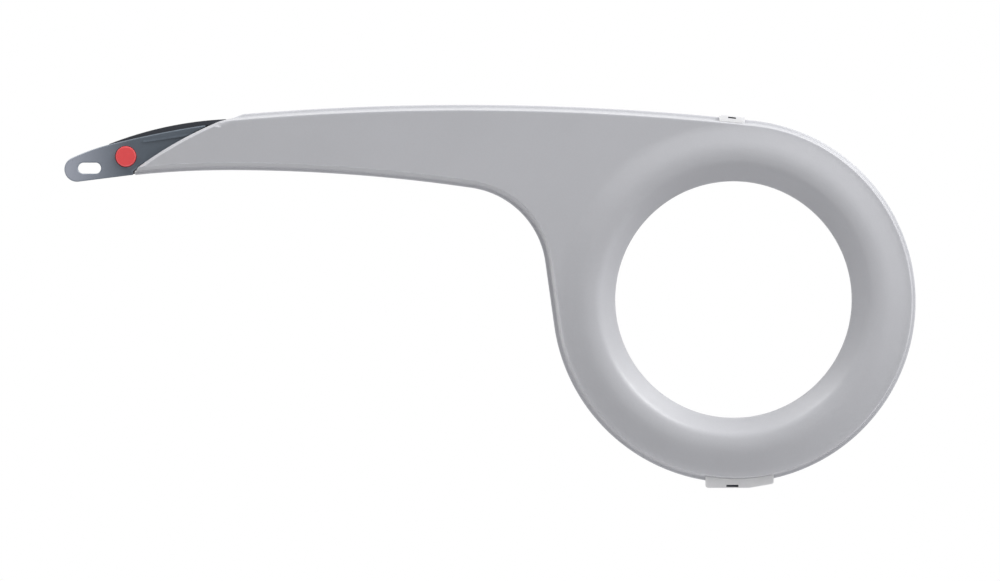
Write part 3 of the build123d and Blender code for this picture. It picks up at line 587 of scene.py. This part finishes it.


# The cover's edges, lightened to 1.5 times its colour, are mostly painted highlight: the chamfer band along
# the slanted end that catches the light from above.
cover_plastic = moulded_plastic("cover_plastic", (0.44, 0.443, 0.465), roughness=0.40, contrast=0.035,
                                scatter=0.25, wear_and_highlight_gain=1.5)
socket_plastic = moulded_plastic("socket_plastic", (0.82, 0.82, 0.825), roughness=0.45, contrast=0.03,
                                 scatter=0.2)
black_plastic = moulded_plastic("black_plastic", (0.035, 0.04, 0.052), roughness=0.48, contrast=0.12,
                                wear_and_highlight_gain=1.25)
# The slate bracket's colour ramp is painted light: the tongue lighter at its free tip, darker where it runs
# in under the cover's end; its edges, lightened 1.7 times, are painted highlight along the plate's edges.
slate_plastic = moulded_plastic("slate_plastic", (0.085, 0.105, 0.13), roughness=0.40, contrast=0.10,
                                wear_and_highlight_gain=1.7, painted_light_ramp=((0.31, 0.33, 0.385), -0.341, -0.374))
# The red button's pale pink edge colour is painted highlight on its rim.
red_plastic = moulded_plastic("red_plastic", (0.72, 0.062, 0.067), roughness=0.34, contrast=0.06,
                              scatter=0.15, scatter_reach=0.001, wear_and_highlight_colour=(0.85, 0.22, 0.23))
plated = plated_steel("plated_steel")

SLOTS = {
    "cover_plastic": cover_plastic,
    "socket_plastic": socket_plastic,
    "black_plastic": black_plastic,
    "slate_plastic": slate_plastic,
    "red_plastic": red_plastic,
    "screw_steel": plated,
}


def paint(obj, slot_name):
    obj.data.materials.clear()
    obj.data.materials.append(SLOTS[slot_name])


# ---- Pieces
cover = bpy.data.objects.new("cover", build_cover())
bpy.context.scene.collection.objects.link(cover)
paint(cover, "cover_plastic")
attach(cover, "guard")
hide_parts("cover_shell")

NODE_SLOTS = {
    "end_channel": "black_plastic",
    "channel_screws": "screw_steel",
    "rear_bracket": "slate_plastic",
    "release_button": "red_plastic",
    "button_spring": "screw_steel",
    "lock_cone": "black_plastic",
    "lock_screw": "screw_steel",
    "lower_socket": "socket_plastic",
    "lower_catch": "black_plastic",
    "upper_socket": "socket_plastic",
    "upper_catch": "black_plastic",
    "socket_rivets": "socket_plastic",
}
for name, slot_name in NODE_SLOTS.items():
    paint(nodes[name], slot_name)

# ---- Stage: pale floor, white backdrop beyond every camera, and a white surround, in metres
BACKDROP_Y = 8.0
FLOOR_Z = -0.9
STAGE_REACH = 9.0
FLOOR_COLOUR = (0.62, 0.62, 0.63, 1.0)
FLOOR_ROUGHNESS = 0.8
SURROUND = 0.68


def stage_sheet(name, corners):
    """One flat sheet of the stage."""
    mesh = bpy.data.meshes.new(name)
    mesh.from_pydata(corners, [], [(0, 1, 2, 3)])
    sheet = bpy.data.objects.new(name, mesh)
    bpy.context.scene.collection.objects.link(sheet)
    return mesh


backdrop_mesh = stage_sheet("backdrop", [
    (-STAGE_REACH, BACKDROP_Y, FLOOR_Z),
    (STAGE_REACH, BACKDROP_Y, FLOOR_Z),
    (STAGE_REACH, BACKDROP_Y, STAGE_REACH),
    (-STAGE_REACH, BACKDROP_Y, STAGE_REACH),
])
floor_mesh = stage_sheet("floor", [
    (-STAGE_REACH, BACKDROP_Y, FLOOR_Z),
    (STAGE_REACH, BACKDROP_Y, FLOOR_Z),
    (STAGE_REACH, -STAGE_REACH, FLOOR_Z),
    (-STAGE_REACH, -STAGE_REACH, FLOOR_Z),
])
glow = bpy.data.materials.new("backdrop_white")
glow.use_nodes = True
glow.node_tree.nodes.clear()
emission = glow.node_tree.nodes.new("ShaderNodeEmission")
emission.inputs["Strength"].default_value = 1.0
output = glow.node_tree.nodes.new("ShaderNodeOutputMaterial")
glow.node_tree.links.new(emission.outputs[0], output.inputs["Surface"])
backdrop_mesh.materials.append(glow)
pale = bpy.data.materials.new("pale_floor")
pale.use_nodes = True
pale.node_tree.nodes["Principled BSDF"].inputs["Base Color"].default_value = FLOOR_COLOUR
pale.node_tree.nodes["Principled BSDF"].inputs["Roughness"].default_value = FLOOR_ROUGHNESS
floor_mesh.materials.append(pale)

world = bpy.data.worlds.new("studio")
world.use_nodes = True
world.node_tree.nodes["Background"].inputs["Color"].default_value = (1.0, 1.0, 1.0, 1.0)
world.node_tree.nodes["Background"].inputs["Strength"].default_value = SURROUND
bpy.context.scene.world = world


def area_light(name, place, aim, size, energy):
    """A square lamp at a place, turned to its aim; metres and watts."""
    data = bpy.data.lights.new(name, "AREA")
    data.shape = "SQUARE"
    data.size = size
    data.energy = energy
    light = bpy.data.objects.new(name, data)
    light.location = place
    light.rotation_euler = (Vector(aim) - Vector(place)).to_track_quat("-Z", "Y").to_euler()
    bpy.context.scene.collection.objects.link(light)


# The key grazes the face from the upper right; a smaller light above catches the upper edges
area_light("key", place=(1.6, -0.65, 1.7), aim=(-0.1, 0.0, 0.0), size=1.3, energy=58.0)
area_light("top", place=(-1.4, -0.3, 1.8), aim=(-0.15, 0.0, 0.0), size=0.8, energy=21.0)

# ---- Camera, square on to the guard, the picture's centre between ring and arm
CAMERA_X = -0.13135
CAMERA_Z = 0.00507
CAMERA_AWAY = 4.0
FACE_IN_FRONT = 16.74 * MM  # the arm's face, in front of the plane that is CAMERA_AWAY off
PICTURE_WIDTH = 0.5635
camera_data = bpy.data.cameras.new("camera")
camera_data.sensor_width = 36.0
camera_data.lens = camera_data.sensor_width * CAMERA_AWAY / PICTURE_WIDTH
camera_data.clip_end = 20.0
camera = bpy.data.objects.new("camera", camera_data)
camera.location = (CAMERA_X, FACE_Y * MM + FACE_IN_FRONT - CAMERA_AWAY, CAMERA_Z)
camera.rotation_euler = (math.radians(90), 0, 0)
bpy.context.scene.collection.objects.link(camera)
bpy.context.scene.camera = camera
bpy.context.scene.view_settings.view_transform = "Standard"
